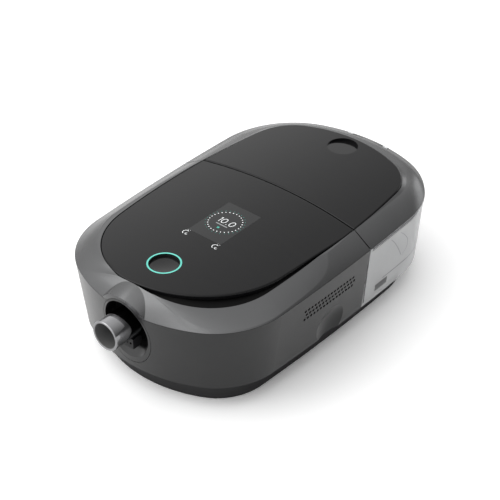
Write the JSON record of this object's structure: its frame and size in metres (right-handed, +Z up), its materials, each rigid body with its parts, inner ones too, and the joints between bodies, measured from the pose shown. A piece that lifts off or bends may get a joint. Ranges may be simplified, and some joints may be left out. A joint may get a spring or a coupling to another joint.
{
  "type": "cpap machine",
  "caption": "Low rounded bedside breathing-therapy machine with a glossy display top, lit power button, front hose outlet, side vents and a clear slide-out water tank at the back.",
  "frame": {"origin": "on the table, under the middle of the overall length and width", "axes": "+X to the vented side, +Y to the back where the water tank slides out, +Z up; the hose outlet points to -Y"},
  "size_m": [0.1726, 0.2853, 0.0845],
  "materials": {
    "housing": "satin gunmetal grey",
    "rim": "satin gunmetal grey",
    "base": "fine matt black",
    "panel": "glossy black",
    "lens": "glossy smoke",
    "inner_black": "matt black",
    "tube": "polished smoke",
    "light": "lit teal",
    "clear": "clear smoke",
    "clear_peg": "clear",
    "soft": "soft matt",
    "silicone": "soft translucent",
    "white_plastic": "moulded",
    "board": "green solder mask",
    "component": "moulded",
    "steel": "brushed",
    "alloy": "satin",
    "winding": "lacquered copper",
    "magnet": "ground",
    "foam": "open-cell foam",
    "filter": "open-cell foam"
  },
  "bodies": {
    "chassis": {"base_tray": "base", "rubber_feet": "soft", "case_screws": "steel", "front_housing": "housing", "upper_rim": "rim", "panel_carrier": "inner_black", "display_panel": "panel", "screen_lens": "lens", "lcd_module": "component", "display_board": "board", "icon_light_guides": "clear_peg", "button_bezel": "inner_black", "button_light_ring": "light", "button_switch": "component", "outlet_bowl": "housing", "outlet_well": "inner_black", "outlet_tube": "tube", "hose_contact_block": "inner_black", "outlet_duct": "silicone", "flow_sensor": "component", "feed_duct": "silicone", "blower_box": "white_plastic", "blower_box_lid": "white_plastic", "acoustic_foam": "foam", "blower_mounts": "soft", "volute_lower": "white_plastic", "volute_upper": "white_plastic", "motor_stator": "winding", "motor_bearings": "steel", "bearing_holder": "alloy", "filter_cassette": "white_plastic", "pollen_filter": "filter", "main_board": "board", "board_components": "component", "power_socket": "inner_black", "rear_bulkhead": "inner_black", "dock_port_seals": "soft", "dock_deck": "inner_black", "heater_cushion": "silicone"},
    "power_button": {"power_button": "panel"},
    "impeller": {"impeller": "white_plastic", "motor_shaft": "steel", "rotor_magnet": "magnet"},
    "filter_door": {"filter_door": "housing"},
    "heater_plate": {"heater_plate": "alloy"},
    "water_tank": {"tank_tub": "clear", "tank_base_plate": "steel", "tank_baffle": "clear", "lid_hinge_pin": "steel"},
    "tank_lid": {"tank_lid_rim": "rim", "tank_lid_panel": "panel", "tank_lid_liner": "clear", "tank_lid_seal": "silicone"}
  },
  "joints": [
    {"name": "power_button_press", "type": "slide", "parent": "chassis", "child": "power_button", "axis": [0, 0, -1], "range_m": [0, 0.0008], "stiffness_N_per_m": 2500, "springref_m": -0.0004},
    {"name": "impeller_spin", "type": "hinge", "parent": "chassis", "child": "impeller", "pos_m": [-0.042, -0.028, 0.045], "axis": [0, 0, 1], "continuous": true},
    {"name": "filter_door_swing", "type": "hinge", "parent": "chassis", "child": "filter_door", "pos_m": [-0.08317, -0.028, 0.058], "axis": [0, 1, 0], "range_deg": [0, 85]},
    {"name": "heater_plate_press", "type": "slide", "parent": "chassis", "child": "heater_plate", "axis": [0, 0, -1], "range_m": [0, 0.0012], "stiffness_N_per_m": 3000, "springref_m": -0.001, "deforming": ["heater_cushion"]},
    {"name": "water_tank_slide", "type": "slide", "parent": "chassis", "child": "water_tank", "axis": [0, 1, 0], "range_m": [0, 0.125]},
    {"name": "tank_lid_swing", "type": "hinge", "parent": "water_tank", "child": "tank_lid", "pos_m": [0, 0.1401, 0.0732], "axis": [-1, 0, 0], "range_deg": [0, 85]}
  ]
}
